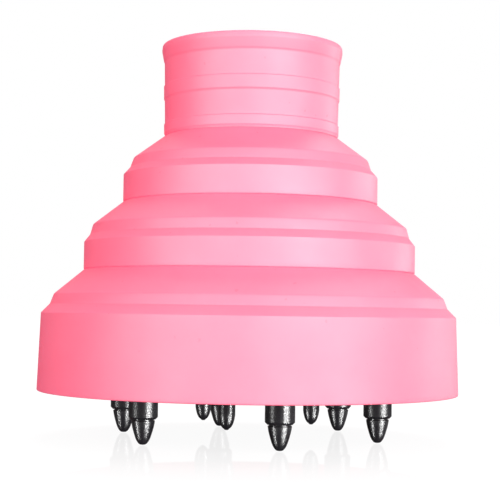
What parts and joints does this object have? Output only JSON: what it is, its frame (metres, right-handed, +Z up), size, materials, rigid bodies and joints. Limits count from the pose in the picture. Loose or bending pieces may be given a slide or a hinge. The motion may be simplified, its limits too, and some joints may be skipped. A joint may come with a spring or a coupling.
{
  "type": "hair dryer diffuser",
  "caption": "Collapsible hair-dryer diffuser: a stepped silicone bell with a neck that grips the barrel, folding tiers, and a vented disc with fingers.",
  "frame": {"origin": "on the bell's axis, level with the tips of the outer fingers, which the diffuser stands on", "axes": "+Z up the bell's axis towards the neck and the dryer; one outer finger lies on -Y and one inner finger on +X"},
  "size_m": [0.155, 0.155, 0.1455],
  "materials": {
    "silicone": "satin-matte moulded silicone",
    "disc_plastic": "fine-textured satin black",
    "finger_plastic": "semi-gloss black"
  },
  "bodies": {
    "rim": {"rim_band": "silicone", "lower_web": "silicone", "diffuser_disc": "disc_plastic", "outer_finger_1": "finger_plastic", "outer_finger_2": "finger_plastic", "outer_finger_3": "finger_plastic", "outer_finger_4": "finger_plastic", "outer_finger_5": "finger_plastic", "outer_finger_6": "finger_plastic", "inner_finger_1": "finger_plastic", "inner_finger_2": "finger_plastic", "inner_finger_3": "finger_plastic"},
    "middle_tier": {"middle_ring": "silicone", "middle_web": "silicone"},
    "upper_tier": {"upper_ring": "silicone", "upper_web": "silicone"},
    "neck": {"neck_collar": "silicone"}
  },
  "joints": [
    {"name": "middle_tier_collapse", "type": "slide", "parent": "rim", "child": "middle_tier", "axis": [0, 0, -1], "range_m": [0, 0.0256], "deforming": ["lower_web"]},
    {"name": "upper_tier_collapse", "type": "slide", "parent": "middle_tier", "child": "upper_tier", "axis": [0, 0, -1], "range_m": [0, 0.025], "deforming": ["middle_web"]},
    {"name": "neck_collapse", "type": "slide", "parent": "upper_tier", "child": "neck", "axis": [0, 0, -1], "range_m": [0, 0.0246], "deforming": ["upper_web"]}
  ]
}
